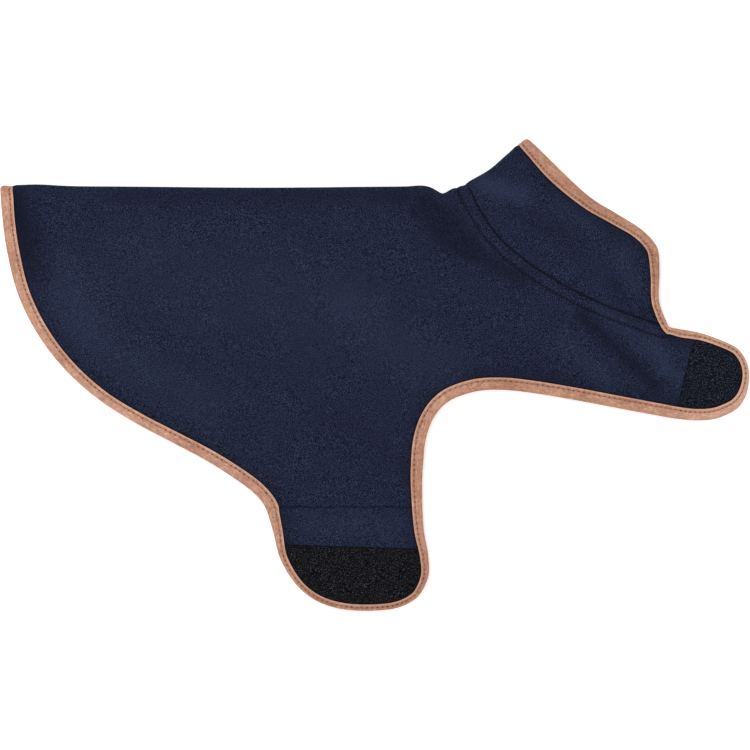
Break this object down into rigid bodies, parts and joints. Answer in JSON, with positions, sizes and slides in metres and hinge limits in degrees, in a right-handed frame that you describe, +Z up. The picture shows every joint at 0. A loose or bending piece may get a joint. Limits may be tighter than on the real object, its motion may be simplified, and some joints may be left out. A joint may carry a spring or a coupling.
{
  "type": "dog coat",
  "caption": "Fleece dog coat folded flat along its back, with collar, belly strap and chest strap, all edges bound in suede tape, hook and loop closures.",
  "frame": {"origin": "on the surface the coat lies on, under the middle of its outline", "axes": "+X towards the head end, +Y towards the fold of the back, +Z up off the surface, out of the right half's outer face"},
  "size_m": [0.674, 0.4272, 0.0099],
  "materials": {
    "fleece": "navy anti-pill polyester fleece, matt and softly napped",
    "suede_binding": "tan mottled faux-suede tape, folded over the edge",
    "loop_pad": "black brushed loop tape",
    "hook_pad": "black woven hook tape, slightly shiny",
    "tan_thread": "tan polyester sewing thread"
  },
  "bodies": {
    "root": {"back_fold": "fleece", "left_belly_seam_allowance": "fleece", "left_body_panel": "fleece", "left_collar": "fleece", "left_collar_binding": "suede_binding", "left_collar_stitching": "tan_thread", "left_hem_binding": "suede_binding", "left_hem_stitching": "tan_thread", "left_leg_binding": "suede_binding", "left_leg_stitching": "tan_thread", "left_neck_seam": "fleece", "nape_fold": "fleece", "nape_fold_binding": "suede_binding", "neck_seam_fold": "fleece", "right_back_strip": "fleece", "right_collar_top": "fleece", "right_nape_binding": "suede_binding", "right_nape_stitching": "tan_thread", "right_neck_seam_top": "fleece", "right_tail_binding": "suede_binding", "right_tail_stitching": "tan_thread", "tail_fold_binding": "suede_binding"},
    "right_side": {"right_belly_seam_allowance": "fleece", "right_body_panel": "fleece", "right_collar": "fleece", "right_collar_binding": "suede_binding", "right_collar_stitching": "tan_thread", "right_hem_binding": "suede_binding", "right_hem_stitching": "tan_thread", "right_leg_binding": "suede_binding", "right_leg_stitching": "tan_thread", "right_neck_seam": "fleece"},
    "left_belly_strap": {"left_belly_binding": "suede_binding", "left_belly_hook_pad": "hook_pad", "left_belly_stitching": "tan_thread", "left_belly_strap": "fleece"},
    "left_chest_strap": {"left_chest_binding": "suede_binding", "left_chest_hook_pad": "hook_pad", "left_chest_stitching": "tan_thread", "left_chest_strap": "fleece"},
    "right_belly_strap": {"right_belly_binding": "suede_binding", "right_belly_loop_pad": "loop_pad", "right_belly_stitching": "tan_thread", "right_belly_strap": "fleece"},
    "right_chest_strap": {"right_chest_binding": "suede_binding", "right_chest_loop_pad": "loop_pad", "right_chest_stitching": "tan_thread", "right_chest_strap": "fleece"}
  },
  "joints": [
    {"name": "right_side_open", "type": "hinge", "parent": "root", "child": "right_side", "pos_m": [0, 0.14181, 0.0092], "axis": [-1, 0, 0], "range_deg": [0, 165]},
    {"name": "right_belly_strap_fold", "type": "hinge", "parent": "right_side", "child": "right_belly_strap", "pos_m": [-0.0285, -0.12019, 0.0092], "axis": [-1, 0, 0], "range_deg": [0, 160]},
    {"name": "right_chest_strap_fold", "type": "hinge", "parent": "right_side", "child": "right_chest_strap", "pos_m": [0.266, 0.04081, 0.0092], "axis": [-0.2419, -0.9703, 0], "range_deg": [0, 160]},
    {"name": "left_belly_strap_fold", "type": "hinge", "parent": "root", "child": "left_belly_strap", "pos_m": [-0.0285, -0.12019, 0.0044], "axis": [-1, 0, 0], "range_deg": [0, 83]},
    {"name": "left_chest_strap_fold", "type": "hinge", "parent": "root", "child": "left_chest_strap", "pos_m": [0.266, 0.04081, 0.0044], "axis": [-0.2419, -0.9703, 0], "range_deg": [0, 83]}
  ],
  "couplings": [
    {"joint": "left_belly_strap_fold", "follows": "right_side_open", "ratio": 0.5},
    {"joint": "left_chest_strap_fold", "follows": "right_side_open", "ratio": 0.5}
  ]
}
